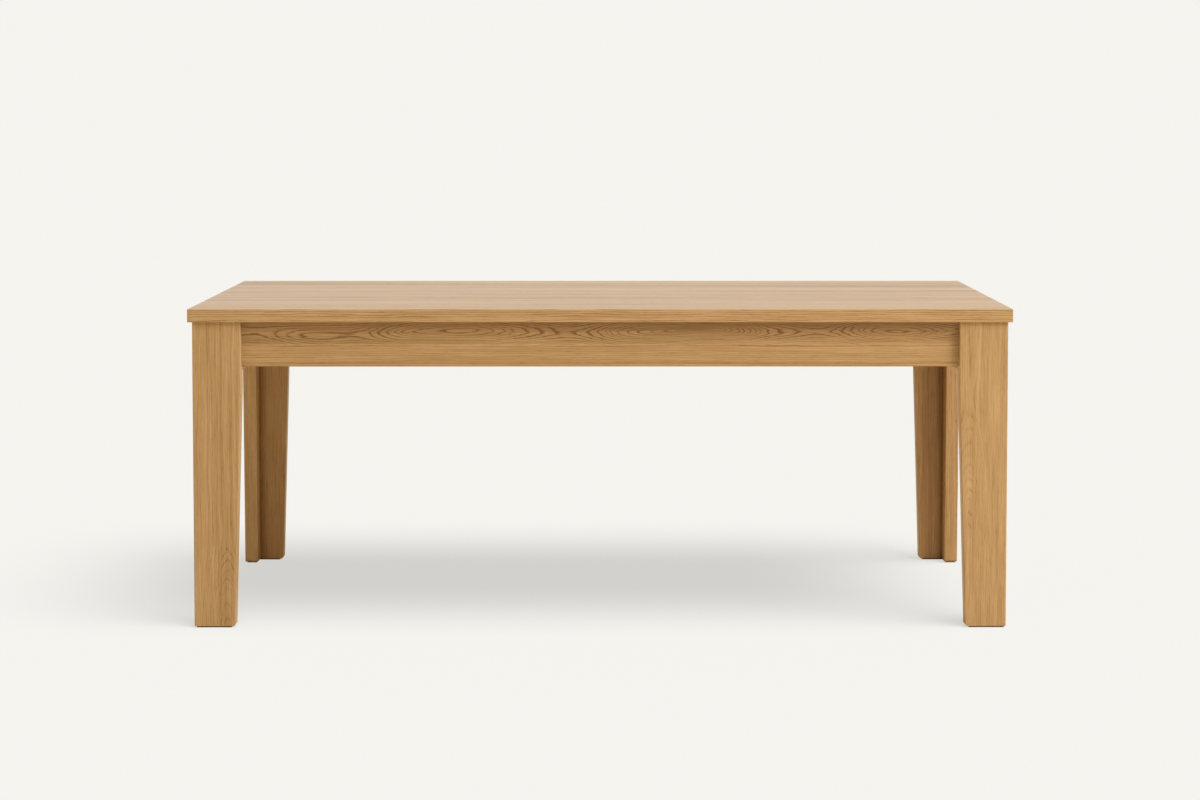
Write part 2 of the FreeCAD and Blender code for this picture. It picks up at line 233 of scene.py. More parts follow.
class GroupMaker:
    """Builds a shader node group with named inputs and outputs."""

    def __init__(self, name: str) -> None:
        """Starts an empty group.

        Args:
            name: its name.
        """
        self.tree = bpy.data.node_groups.new(name, "ShaderNodeTree")
        self.graph = Graph(self.tree)
        self.entry = self.graph.node("NodeGroupInput")
        self.exit = self.graph.node("NodeGroupOutput")

    def takes(self, name: str, kind: str = "Float") -> Socket:
        """Adds a Float or Vector input and gives it as seen inside the group."""
        self.tree.interface.new_socket(name, in_out="INPUT", socket_type=f"NodeSocket{kind}")
        return self.entry.outputs[name]

    def gives(self, name: str, value: Socket) -> None:
        """Adds an output socket fed by a value of the group."""
        self.tree.interface.new_socket(name, in_out="OUTPUT", socket_type="NodeSocketFloat")
        self.graph.feed(self.exit.inputs[name], value)


def grain_group() -> None:
    """Makes the growth rings, fibres and pores of a board, in the board's own coordinates.

    The rings are the level sets of the distance to the pith, a line that runs along the log,
    bends a little, and may lean away from the board. Where a face comes near the pith its
    rings open into arches and closed loops; far from it they are straight lines. Position has
    x along the grain, y across the board and z out of its show face.
    """
    maker = GroupMaker("Oak grain")
    g = maker.graph
    position, pith, lean = (maker.takes(name, "Vector") for name in ("Position", "Pith", "Lean"))
    names = ("Lean end", "Ring width", "Wander", "Bends per metre", "Seed")
    lean_end, ring, wander, bends, seed = (maker.takes(name) for name in names)
    seed_along, seed_across = 3.17, 1.31
    own_part = g.join(g.math("MULTIPLY", seed, seed_along), g.math("MULTIPLY", seed, seed_across), seed)

    def place(along: Feed, across: float) -> Socket:
        """Position in features per metre, moved to this board's own part of the noise."""
        return g.vector("ADD", g.vector("MULTIPLY", position, g.join(along, across, across)), own_part)

    def swing(along: float, across: float, detail: float = 3.0, roughness: float = 0.5) -> Socket:
        """Noise about 0, in features per metre along the grain and across it."""
        return g.math("SUBTRACT", g.noise(place(along, across), detail, roughness), 0.5)

    bend_gain, bend_ways = 4.0, (0.0, 0.45, 1.0)
    bend = g.noise(place(bends, 3.0), detail=0.6, roughness=0.4, colour=True)
    bend = g.vector("MULTIPLY", g.vector("SUBTRACT", bend, (0.5, 0.5, 0.5)), bend_ways)
    sway = g.scale(bend, g.math("MULTIPLY", wander, bend_gain))
    lean_blend = 0.06
    before_end = g.math("SUBTRACT", g.split(position)[0], lean_end)
    leaning = g.scale(lean, g.math("SMOOTH_MIN", before_end, 0.0, lean_blend))
    from_pith = g.vector("SUBTRACT", g.vector("ADD", g.vector("SUBTRACT", position, pith), sway), leaning)
    radius = g.vector("LENGTH", g.vector("MULTIPLY", from_pith, (0.0, 1.0, 1.0)))

    fuzz_depth, swell_step, swell_rings = 0.0036, 0.31, 2.4
    fuzz = g.math("MULTIPLY", swing(9.0, 130.0, roughness=0.6), fuzz_depth)
    count = g.math("DIVIDE", g.math("ADD", radius, fuzz), ring)
    swell = g.noise(g.join(g.math("MULTIPLY", count, swell_step), seed, 0.0), detail=1.0)
    count = g.math("ADD", count, g.math("MULTIPLY", swell, swell_rings))
    fade_end, rise_start, rise_number, faintest = 0.34, 0.90, 0.12, 0.35
    phase = g.math("FRACT", count)
    after = g.smooth(phase, 0.0, fade_end, 1.0, 0.0)
    before = g.smooth(phase, rise_start, 1.0)
    number = g.math("FLOOR", g.math("ADD", count, rise_number))
    chance = g.node("ShaderNodeTexWhiteNoise", noise_dimensions="1D")
    g.fill(chance, {"W": g.math("ADD", number, seed)})
    strength = g.math("MULTIPLY_ADD", chance.outputs["Value"], 1 - faintest, faintest)
    line = g.math("MULTIPLY", g.math("MAXIMUM", after, before), strength)

    pore_start, pore_full, pore_base = 0.58, 0.68, 0.4
    pores = g.smooth(g.noise(place(45.0, 900.0), detail=1.0), pore_start, pore_full)
    maker.gives("Line", line)
    maker.gives("Fine", swing(10.0, 360.0, roughness=0.65))
    maker.gives("Streak", swing(2.6, 95.0, roughness=0.55))
    maker.gives("Broad", swing(0.7, 13.0, detail=2.0))
    maker.gives("Pores", g.math("MULTIPLY", pores, g.math("MULTIPLY_ADD", line, 1 - pore_base, pore_base)))


def edge_group() -> None:
    """Makes a mask along the edges of a box for paler arrises: partly wear, partly a painted highlight.

    On a face one distance to the box is nothing, so the middle one of the three distances
    is the distance to the nearest edge. The mask is 1 there and falls to 0 over the width,
    which comes and goes with a noise.
    """
    width, changes_per_metre = 0.004, 60.0
    maker = GroupMaker("Edge mask")
    g = maker.graph
    position, low, high = (maker.takes(name, "Vector") for name in ("Position", "Low", "High"))
    inside = g.vector("MINIMUM", g.vector("SUBTRACT", position, low), g.vector("SUBTRACT", high, position))
    a, b, c = g.split(inside)
    middle = g.math("MAXIMUM", g.math("MINIMUM", a, b), g.math("MINIMUM", g.math("MAXIMUM", a, b), c))
    share = g.math("ADD", g.noise(g.scale(position, changes_per_metre)), 0.5)
    maker.gives("Mask", g.smooth(middle, 0.0, g.math("MULTIPLY", share, width), 1.0, 0.0))


def make_painted_corner_shade() -> None:
    """Makes a mask of painted shade along an upright inside corner, where little light comes.

    It is the square of a smooth step of the level distance to the corner's line, 1 in the
    corner and 0 from the reach outwards, so it ends inside boards that are thicker than that.
    """
    reach = 0.03
    maker = GroupMaker("Painted corner shade")
    g = maker.graph
    position, corner = (maker.takes(name, "Vector") for name in ("Position", "Corner"))
    away = g.vector("MULTIPLY", g.vector("SUBTRACT", position, corner), (1.0, 1.0, 0.0))
    near = g.smooth(g.vector("LENGTH", away), 0.0, reach, 1.0, 0.0)
    maker.gives("Mask", g.math("MULTIPLY", near, near))


def shader(name: str) -> Tuple[bpy.types.Material, Graph, bpy.types.Node]:
    """A new material with one Principled BSDF.

    Args:
        name: the material's name.

    Returns:
        The material, its graph and its shader node.
    """
    material = bpy.data.materials.new(name)
    material.use_nodes = True
    return material, Graph(material.node_tree), material.node_tree.nodes["Principled BSDF"]


# ---- finishes
@dataclass(frozen=True)
class Cut:
    """How a board was cut from its log, and how the log grew.

    Args:
        across: from the middle of the board to the pith, across its width.
        front: how far in front of the show face the pith lies; negative is behind it.
        ring: width of a growth ring.
        wander: how far the pith bends to each side.
        bends: bends per metre.
        lean: how fast the pith moves across and away from the board, per metre of grain.
        lean_end: where along the grain it stops leaning, from the middle of the board.
    """

    across: float = 0.09
    front: float = -0.15
    ring: float = 0.0028
    wander: float = 0.0025
    bends: float = 3.0
    lean: Pair = (0.0, 0.0)
    lean_end: float = 10.0


@dataclass(frozen=True)
class OakFinish:
    """Oiled and matt-lacquered oak.

    Args:
        dark: colour of the early wood that draws the ring lines.
        body: colour between the lines.
        pale: colour of the palest streaks.
        roughness: roughness of the surface between pores.
        figure: strength of the ring lines.
        streaks: strength of the streaks that run through several rings.
        fibres: strength of the short fibres.
        bands: strength of the broad bands.
        pores: how much darker a pore is.
        edges: how much paler an arris is, for wear and as a painted highlight.
        painted_corner_darkening: how much painted shade darkens an inside corner.
        ends: how much darker end grain is.
        end_range: how far along the grain a face looks where end grain begins and is full.
        rough_parts: what pores, streaks and end grain add to the roughness.
        raised: height of fibres, pores and ring lines.
        relief: strength of the relief and its depth for a height of 1.
        refraction: index of refraction.
    """

    dark: Triple = (0.210, 0.096, 0.020)
    body: Triple = (0.490, 0.277, 0.104)
    pale: Triple = (0.672, 0.460, 0.236)
    roughness: float = 0.345
    figure: float = 0.44
    streaks: float = 0.42
    fibres: float = 0.60
    bands: float = 0.40
    pores: float = 0.24
    edges: float = 0.07
    painted_corner_darkening: float = 0.33
    ends: float = 0.16
    end_range: Pair = (0.75, 0.98)
    rough_parts: Triple = (0.20, 0.10, 0.15)
    raised: Triple = (0.5, -1.0, -0.25)
    relief: Pair = (0.35, 0.0002)
    refraction: float = 1.5

    def material(self, board: "Board") -> bpy.types.Material:
        """The finish on one board.

        Args:
            board: the board, with its place, its grain and its cut.

        Returns:
            A material with the grain of that board.
        """
        made, g, principled = shader(f"Oak {board.node}")
        low, high = board.box
        texture = g.node("ShaderNodeTexCoord").outputs
        middle = (low + high) / 2
        own = g.node("ShaderNodeMapping", texture["Object"], -(board.turn @ middle), board.turn.to_euler())
        cut = board.cut
        grown = {
            "Position": own.outputs["Vector"],
            "Pith": (0.0, cut.across, board.half_thickness + cut.front),
            "Lean": (0.0, *cut.lean),
            "Lean end": cut.lean_end,
            "Ring width": cut.ring,
            "Wander": cut.wander,
            "Bends per metre": cut.bends,
            "Seed": board.seed,
        }
        grain = g.group("Oak grain", grown)
        edge = g.group("Edge mask", {"Position": texture["Object"], "Low": low, "High": high})["Mask"]
        end = g.math("ABSOLUTE", g.vector("DOT_PRODUCT", texture["Normal"], board.grain.value))
        end = g.smooth(end, *self.end_range)

        tone = g.total(
            0.5 + board.tone,
            (grain["Streak"], self.streaks * board.contrast),
            (grain["Fine"], self.fibres * board.contrast),
            (grain["Broad"], self.bands * board.bands),
            (grain["Line"], -self.figure * board.figure),
            (grain["Pores"], -self.pores),
            # Paler arrises: wear, and a painted highlight of the light they catch.
            (edge, self.edges),
        )
        # Painted shade: the inside corners of the legs' L are darkened where little light reaches.
        if board.nook is not None:
            shade = g.group("Painted corner shade", {"Position": texture["Object"], "Corner": board.nook})
            tone = g.total(tone, (shade["Mask"], -self.painted_corner_darkening))
        tone = g.math("MULTIPLY_ADD", end, -self.ends, tone, clamp=True)
        rough = g.total(self.roughness, *zip((grain["Pores"], grain["Streak"], end), self.rough_parts))
        height = g.total(0.0, *zip((grain["Fine"], grain["Pores"], grain["Line"]), self.raised))
        surface = {
            "Base Color": g.ramp(tone, self.dark, self.body, self.pale),
            "Roughness": rough,
            "Normal": g.bump(height, *self.relief),
            "IOR": self.refraction,
        }
        g.fill(principled, surface)
        return made


@dataclass(frozen=True)
class BeechFinish:
    """Sanded beech without a finish, for pieces that are hidden: pale, with short dark flecks.

    Args:
        body: colour of the wood.
        fleck: colour of the flecks.
        clouded: brightness of the wood's clouds, as a share of its own.
        roughness: roughness of the surface.
    """

    body: Triple = (0.56, 0.37, 0.22)
    fleck: Triple = (0.36, 0.20, 0.10)
    clouded: float = 0.86
    roughness: float = 0.62

    def material(self) -> bpy.types.Material:
        """The finish.

        Returns:
            One material for all beech pieces.
        """
        flecks_per_metre, clouds_per_metre = (260.0, 260.0, 900.0), (30.0, 30.0, 60.0)
        fleck_start, fleck_full, fleck_strength = 0.58, 0.70, 0.6
        made, g, principled = shader("Beech")
        position = g.node("ShaderNodeTexCoord").outputs["Object"]
        flecks = g.noise(g.vector("MULTIPLY", position, flecks_per_metre))
        flecks = g.math("MULTIPLY", g.smooth(flecks, fleck_start, fleck_full), fleck_strength)
        cloud = g.noise(g.vector("MULTIPLY", position, clouds_per_metre))
        wood = g.mix(cloud, self.body, tuple(self.clouded * c for c in self.body))
        g.fill(principled, {"Base Color": g.mix(flecks, wood, self.fleck), "Roughness": self.roughness})
        return made


@dataclass(frozen=True)
class ZincFinish:
    """Bright zinc plating with faint clouds.

    Args:
        bright: colour of the brightest plating.
        dull: colour in the clouds.
        clouds: clouds per metre.
        roughness: roughness outside the clouds, and what a full cloud adds.
    """

    bright: Triple = (0.66, 0.67, 0.67)
    dull: Triple = (0.50, 0.51, 0.50)
    clouds: float = 420.0
    roughness: Pair = (0.20, 0.25)

    def material(self) -> bpy.types.Material:
        """The plating.

        Returns:
            One material for all small metal pieces.
        """
        made, g, principled = shader("Zinc plated steel")
        position = g.node("ShaderNodeTexCoord").outputs["Object"]
        cloud = g.noise(g.scale(position, self.clouds), detail=3.0)
        base, dulling = self.roughness
        rough = g.total(base, (cloud, dulling))
        colour = g.mix(cloud, self.bright, self.dull)
        g.fill(principled, {"Base Color": colour, "Roughness": rough, "Metallic": 1.0})
        return made


@dataclass(frozen=True)
class FeltFinish:
    """Pressed wool felt with matted fibres.

    Args:
        dark: colour between the fibres.
        light: colour of the fibres.
        fibres: fibres per metre.
        sheen: strength of the fuzz that catches light at a grazing angle.
        relief: strength and depth of the relief.
    """

    dark: Triple = (0.035, 0.026, 0.020)
    light: Triple = (0.085, 0.066, 0.050)
    fibres: float = 1600.0
    sheen: float = 0.3
    relief: Pair = (0.6, 0.0004)

    def material(self) -> bpy.types.Material:
        """The felt.

        Returns:
            One material for all foot pads.
        """
        made, g, principled = shader("Felt")
        position = g.node("ShaderNodeTexCoord").outputs["Object"]
        fibres = g.noise(g.scale(position, self.fibres), detail=3.0, roughness=0.7)
        colour = g.mix(fibres, self.dark, self.light)
        g.fill(principled, {"Base Color": colour, "Roughness": 1.0, "Sheen Weight": self.sheen})
        g.fill(principled, {"Normal": g.bump(fibres, *self.relief)})
        return made


# ---- boards
@dataclass(frozen=True)
class Board:
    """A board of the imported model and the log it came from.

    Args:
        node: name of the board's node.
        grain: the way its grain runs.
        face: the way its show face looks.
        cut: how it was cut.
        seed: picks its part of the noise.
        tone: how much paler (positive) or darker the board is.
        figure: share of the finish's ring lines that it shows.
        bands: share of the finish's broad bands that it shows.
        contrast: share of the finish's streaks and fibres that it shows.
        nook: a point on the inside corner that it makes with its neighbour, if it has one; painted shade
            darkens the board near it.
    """

    node: str
    grain: Way
    face: Way
    cut: Cut = Cut()
    seed: float = 0.0
    tone: float = 0.0
    figure: float = 1.0
    bands: float = 0.5
    contrast: float = 1.0
    nook: Optional[Triple] = None

    @property
    def box(self) -> Tuple[Vector, Vector]:
        """Lowest and highest corner of the board."""
        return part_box(self.node)

    @property
    def turn(self) -> Matrix:
        """Rotation from the table's frame to the board's: grain, width and face normal."""
        grain, normal = Vector(self.grain.value), Vector(self.face.value)
        return Matrix((grain, normal.cross(grain), normal))

    @property
    def half_thickness(self) -> float:
        """Half of the board's size along its face normal."""
        low, high = self.box
        return abs((high - low).dot(Vector(self.face.value))) / 2


def dress(node: str, material: bpy.types.Material) -> None:
    """Puts a material on every slot of a node's object.

    Args:
        node: the node's name.
        material: the material.
    """
    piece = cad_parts[node]
    if not piece.material_slots:
        piece.data.materials.append(material)
    for slot in piece.material_slots:
        slot.material = material
    log.info("%s: %s", node, material.name)


@dataclass
class Woodwork:
    """A set of boards that share one oak finish.

    Args:
        name: what the set is called in the log.
        boards: the boards.
        finish: the oak finish.
    """

    name: str
    boards: Sequence[Board]
    finish: OakFinish = OakFinish()

    def build(self) -> None:
        """Gives each board its own grain."""
        for board in self.boards:
            dress(board.node, self.finish.material(board))
        log.info("%s: %d boards", self.name, len(self.boards))


# ---- small surfaces
def angles(count: int) -> np.ndarray:
    """Evenly spaced angles once round, from 0."""
    return np.linspace(0, 2 * np.pi, count, endpoint=False)


def turned(radius: np.ndarray, z: np.ndarray, turns: np.ndarray) -> np.ndarray:
    """Points (r cos t, r sin t, z) of a surface that goes round +Z.

    Args:
        radius: radius at each level and angle, or one for each level, as a two-way array.
        z: the levels.
        turns: the angles.

    Returns:
        Points of shape (levels, angles, 3).
    """
    radius, z, turns = np.broadcast_arrays(radius, z[:, None], turns[None, :])
    return np.stack([radius * np.cos(turns), radius * np.sin(turns), z], axis=-1)


def grid_mesh(points: np.ndarray) -> Surface:
    """Vertices and faces of a tube that closes round its second parameter.

    Args:
        points: array of shape (rows, columns, 3). Rows run from one pole to the other,
            columns run round; the first and the last row are single points, or the same ring.

    Returns:
        Vertices of shape (n, 3) and quads of shape (m, 4), turned outwards for columns that
        run counter-clockwise seen from the end of the last row.
    """
    rows, columns = points.shape[:2]
    row, column = np.meshgrid(np.arange(rows - 1), np.arange(columns), indexing="ij")
    right = (column + 1) % columns
    lower, upper = row * columns, (row + 1) * columns
    quads = np.stack([lower + column, lower + right, upper + right, upper + column], axis=-1)
    return points.reshape(-1, 3), quads.reshape(-1, 4)


def placed(points: np.ndarray, origin: Triple, axis: Triple) -> np.ndarray:
    """Points of a piece made along +Z, moved to an origin with +Z turned along an axis.

    The two other directions are cross products of the axis with the vertical, or with x where
    the axis is near it, so the three make a right-handed set.

    Args:
        points: array whose last dimension is 3.
        origin: where the piece's zero goes.
        axis: the way its +Z goes.

    Returns:
        The moved points.
    """
    near_vertical = 0.9
    forward = np.asarray(axis, float) / np.linalg.norm(axis)
    helper = np.array(Way.UP.value if abs(forward[2]) < near_vertical else Way.RIGHT.value)
    side = np.cross(helper, forward)
    side /= np.linalg.norm(side)
    return points @ np.array([side, np.cross(forward, side), forward]) + np.asarray(origin, float)


def solid(
    name: str, shapes: Sequence[Surface], material: bpy.types.Material
) -> bpy.types.Object:
    """One object from several closed shapes.

    Args:
        name: the piece's name.
        shapes: vertices and quads of each shape.
        material: its material.

    Returns:
        The object, with doubles at its poles merged and shaded smooth by angle.
    """
    mesh = bpy.data.meshes.new(name)
    offset, all_points, all_faces = 0, [], []
    for points, faces in shapes:
        all_points.append(points)
        all_faces.append(faces + offset)
        offset += len(points)
    mesh.from_pydata(np.concatenate(all_points).tolist(), [], np.concatenate(all_faces).tolist())
    work = bmesh.new()
    work.from_mesh(mesh)
    bmesh.ops.remove_doubles(work, verts=work.verts, dist=MERGE_DISTANCE)
    bmesh.ops.recalc_face_normals(work, faces=work.faces)
    work.to_mesh(mesh)
    work.free()
    mesh.materials.append(material)
    mesh.shade_smooth()
    mesh.set_sharp_from_angle(angle=SHARP_ANGLE)
    piece = bpy.data.objects.new(name, mesh)
    bpy.context.scene.collection.objects.link(piece)
    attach(piece, "root")
    log.info("%s: %d shapes, %d faces", name, len(shapes), len(mesh.polygons))
    return piece


@dataclass(frozen=True)
class ScrewHead:
    """Countersunk head of a wood screw with a cross recess.

    Args:
        radius: radius of the head.
        depth: depth of its cone.
        dome: how high the middle stands over the rim.
        recess: radius of the cross.
        arm: half width of an arm of the cross.
        sunk: depth of the cross in the middle.
    """

    radius: float = 0.0041
    depth: float = 0.0024
    dome: float = 0.0003
    recess: float = 0.0024
    arm: float = 0.00055
    sunk: float = 0.0014

    def shape(self, origin: Triple, axis: Triple) -> Surface:
        """Head flush with a surface.

        The top is z(r, t) = dome (1 - (r/R)^2) less the recess, which is half as deep at the
        ends of its arms as in the middle, and is cut where the distance to the nearer of two
        crossed lines is under the arm's half width. Below the rim a cone closes the head.

        Args:
            origin: middle of the head on the surface.
            axis: the surface's outward normal.

        Returns:
            Vertices and quads.
        """
        wall, tip, lip_depth, lip_share, neck_share = 0.0002, 0.0003, 0.0002, 0.98, 0.45
        turns = angles(48)
        rings = np.array([0.0, 0.12, 0.2, 0.3, 0.42, 0.52, 0.58, 0.64, 0.8, 0.95, 1.0])
        r, t = np.meshgrid(rings * self.radius, turns, indexing="ij")
        x, y = r * np.cos(t), r * np.sin(t)
        line = np.minimum(np.abs(x), np.abs(y))
        cross = np.clip((self.arm - line) / wall, 0, 1) * np.clip((self.recess - r) / tip, 0, 1)
        sunk = cross * self.sunk * (1 - 0.5 * r / self.recess)
        top = np.stack([x, y, self.dome * (1 - (r / self.radius) ** 2) - sunk], axis=-1)[::-1]
        radii = np.array([[0.0], [neck_share], [lip_share]]) * self.radius
        cone = turned(radii, -np.array([self.depth, self.depth, lip_depth]), turns)
        return grid_mesh(placed(np.concatenate([cone, top]), origin, axis))


@dataclass(frozen=True)
class HexNut:
    """Hexagon nut with chamfered corners.

    Args:
        flats: width across the flats.
        height: height of the nut.
        bore: radius of its hole.
    """

    flats: float = 0.013
    height: float = 0.0065
    bore: float = 0.00415

    def shape(self, origin: Triple, axis: Triple) -> Surface:
        """Nut standing on a surface.

        The outside is r(t, z) = min(hexagon(t), face radius + slope times the distance to the
        nearer end), and the bore joins the two ends, so the surface closes on itself.

        Args:
            origin: middle of its lower face.
            axis: the way it is screwed off.

        Returns:
            Vertices and quads.
        """
        turns = angles(72)
        flat, sixth = self.flats / 2, np.pi / 3
        face, slope = 0.97 * flat, 1.732
        hexagon = flat / np.cos((turns + sixth / 2) % sixth - sixth / 2)
        steps = np.array([0.0, 0.0003, 0.0006, 0.0010])
        levels = np.concatenate([steps, self.height - steps[::-1]])
        nearer = np.minimum(levels, self.height - levels)
        outside = np.minimum(hexagon[None, :], (face + slope * nearer)[:, None])
        bore = np.full((1, len(turns)), self.bore)
        radius = np.concatenate([bore, outside, bore, bore])
        z = np.concatenate([[0.0], levels, [self.height], [0.0]])
        return grid_mesh(placed(turned(radius, z, turns), origin, axis))


@dataclass(frozen=True)
class ThreadedBolt:
    """Hanger bolt: a plain shank with a machine thread at its outer end.

    Args:
        radius: outer radius of the thread and of the shank.
        pitch: rise of the thread per turn.
        thread: length of the thread.
        depth: depth of the thread.
    """

    radius: float = 0.004
    pitch: float = 0.00125
    thread: float = 0.015
    depth: float = 0.0006

    def shape(self, start: Triple, end: Triple) -> Surface:
        """Bolt between two points.

        The thread is r(t, z) = R - depth * |2 frac(z / pitch - t / 2 pi) - 1|, which is a
        V-shaped ridge that climbs one pitch per turn.

        Args:
            start: its end in the wood.
            end: its outer end.

        Returns:
            Vertices and quads.
        """
        start, end = np.asarray(start, float), np.asarray(end, float)
        length = float(np.linalg.norm(end - start))
        taper, end_radius, rows = 0.001, 0.8 * self.radius, 90
        turns = angles(24)
        thread = np.linspace(length - self.thread, length - taper, rows)
        z = np.concatenate([[0.0, 0.0], thread, [length, length]])
        phase = z[:, None] / self.pitch - turns[None, :] / (2 * np.pi)
        radius = self.radius - self.depth * np.abs(2 * (phase % 1.0) - 1)
        radius[:2] = [[0.0], [self.radius]]
        radius[2] = self.radius
        radius[-2:] = [[end_radius], [0.0]]
        return grid_mesh(placed(turned(radius, z, turns), tuple(start), tuple(end - start)))


# ---- sub-assemblies
@dataclass
class CornerHardware:
    """Bolts, nuts, washers and brace screws of the corner joints.

    Args:
        metal: the plating of all of them.
        inner_corner: x and y of the inner corner of a leg's L.
        brace_far: u + v of the brace's inner face, from that corner.
        washer_radius: outer radius of a washer.
        bolt_end: where along the diagonal, from the inner corner, a bolt ends.
        nut_foot: where along the diagonal a nut stands.
        screw_inset: from the ends and the upper and lower edges of a brace to its screws.
        bolt: the hanger bolts.
        nut: the nuts.
        screw: the heads of the brace's screws.
    """

    metal: bpy.types.Material
    inner_corner: Pair = (0.954, 0.454)
    brace_far: float = 0.17374
    washer_radius: float = 0.011
    bolt_end: float = 0.13735
    nut_foot: float = 0.12485
    screw_inset: Pair = (0.018, 0.016)
    bolt: ThreadedBolt = ThreadedBolt()
    nut: HexNut = HexNut()
    screw: ScrewHead = ScrewHead()

    @property
    def bolt_levels(self) -> Pair:
        """Levels of the lower and the upper bolt of a corner."""
        low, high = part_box("leg_bolt_washers")
        return low[2] + self.washer_radius, high[2] - self.washer_radius

    @property
    def screw_levels(self) -> Pair:
        """Levels of the lower and the upper screws of a brace."""
        low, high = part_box("front_left_corner_brace")
        return low[2] + self.screw_inset[1], high[2] - self.screw_inset[1]

    @property
    def bolt_start(self) -> float:
        """Where along the diagonal, from the inner corner, a bolt starts in the core block."""
        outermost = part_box("leg_hanger_bolts")[1][0] - self.bolt.radius * DIAGONAL
        return (self.inner_corner[0] - outermost) * math.sqrt(2)

    def at(self, corner: Corner, u: float, v: float, z: float) -> Triple:
        """Point given along the long apron and along the end apron from the inner corner."""
        sx, sy = corner.value
        return (sx * (self.inner_corner[0] - u), sy * (self.inner_corner[1] - v), z)

    def inwards(self, corner: Corner) -> Triple:
        """Unit vector from the corner to the middle of the table."""
        sx, sy = corner.value
        return (-sx * DIAGONAL, -sy * DIAGONAL, 0.0)

    def build(self) -> None:
        """Makes the threaded bolts, the chamfered nuts and the braces' screws."""
        nuts, bolts, screws = [], [], []
        foot, start, end = (d * DIAGONAL for d in (self.nut_foot, self.bolt_start, self.bolt_end))
        aside = self.screw_inset[0]
        for corner in Corner:
            axis = self.inwards(corner)
            for level in self.bolt_levels:
                nuts.append(self.nut.shape(self.at(corner, foot, foot, level), axis))
                ends = (self.at(corner, place, place, level) for place in (start, end))
                bolts.append(self.bolt.shape(*ends))
            for level in self.screw_levels:
                for u in (aside, self.brace_far - aside):
                    screws.append(self.screw.shape(self.at(corner, u, self.brace_far - u, level), axis))
        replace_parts(solid("leg_bolt_nuts_chamfered", nuts, self.metal), "leg_bolt_nuts")
        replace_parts(solid("leg_hanger_bolts_threaded", bolts, self.metal), "leg_hanger_bolts")
        solid("corner_brace_screws", screws, self.metal)
        dress("leg_bolt_washers", self.metal)


@dataclass
class ButtonScrews:
    """One countersunk screw up through each button.

    Args:
        metal: the plating.
        setback: from the apron's inner face to the screw.
        long_line: y of the long aprons' inner faces.
        end_line: x of the end aprons' inner faces.
        long_places: places along the long aprons.
        end_places: places along the end aprons.
    """

    metal: bpy.types.Material
    setback: float = 0.018
    long_line: float = 0.454
    end_line: float = 0.954
    long_places: Sequence[float] = (-0.573975, -0.191325, 0.191325, 0.573975)
    end_places: Sequence[float] = (-0.13265, 0.13265)

    def build(self) -> None:
        """Makes the screws, heads down."""
        head, underside = ScrewHead(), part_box("top_buttons")[0][2]
        spots = [(x, s * (self.long_line - self.setback)) for x in self.long_places for s in (-1, 1)]
        spots += [(s * (self.end_line - self.setback), y) for y in self.end_places for s in (-1, 1)]
        shapes = [head.shape((x, y, underside), Way.DOWN.value) for x, y in spots]
        solid("top_button_screws", shapes, self.metal)


# ---- studio
@dataclass(frozen=True)
class Lamp:
    """A soft lamp that looks at the middle of the table.

    Args:
        name: its name.
        level: what it adds to a white card that faces it.
        height: its angle above the floor, in degrees.
        side: its angle from the front towards the right, in degrees.
        spread: the angle that it fills as seen from the table, in degrees.
        distance: how far away it hangs; None is a lamp so far off that its light is even.
        tint: colour of its light.
        glints: whether it shows in gloss.
    """

    name: str
    level: float
    height: float
    side: float
    spread: float
    distance: Optional[float] = None
    tint: Triple = (1.0, 1.0, 1.0)
    glints: bool = True

    def build(self) -> bpy.types.Object:
        """Hangs the lamp.

        A sun of strength E adds E / pi to a white card, and a disk of W watts at distance d
        adds W / (pi d)^2.

        Returns:
            The lamp's object.
        """
        height, side, spread = (math.radians(a) for a in (self.height, self.side, self.spread))
        lamp = bpy.data.lights.new(self.name, "SUN" if self.distance is None else "AREA")
        lamp.color = self.tint
        holder = bpy.data.objects.new(self.name, lamp)
        holder.rotation_euler = Euler((math.pi / 2 - height, 0.0, side))
        if self.distance is None:
            lamp.energy = self.level * math.pi
            lamp.angle = spread
        else:
            lamp.shape = "DISK"
            lamp.size = 2 * self.distance * math.tan(spread / 2)
            lamp.energy = self.level * (math.pi * self.distance) ** 2
            aim_height = 0.6
            ahead = self.distance * math.cos(height)
            level = aim_height + self.distance * math.sin(height)
            holder.location = (ahead * math.sin(side), -ahead * math.cos(side), level)
            holder.visible_camera = False
        holder.visible_glossy = self.glints
        bpy.context.scene.collection.objects.link(holder)
        return holder


@dataclass(frozen=True)
class View:
    """The camera in front of the table, a little above it, with a raised frame.

    Args:
        place: where it stands.
        down: how far it looks down, in degrees.
        right: how far it looks to the right, in degrees.
        lens: its focal length, in millimetres.
        shift: how far its frame is moved to the right and up, in frame widths.
    """

    place: Triple = (0.0189, -6.7955, 1.2837)
    down: float = 3.2746
    right: float = 0.0888
    lens: float = 78.287
    shift: Pair = (-0.01005, -0.125)

    def build(self) -> None:
        """Places the camera and makes it the scene's."""
        data = bpy.data.cameras.new("Camera")
        data.lens = self.lens
        data.sensor_width = 36.0
        data.shift_x, data.shift_y = self.shift
        data.clip_end = 300.0
        camera = bpy.data.objects.new("Camera", data)
        camera.location = self.place
        camera.rotation_euler = Euler((math.radians(90 - self.down), 0.0, math.radians(-self.right)))
        bpy.context.scene.collection.objects.link(camera)
        bpy.context.scene.camera = camera


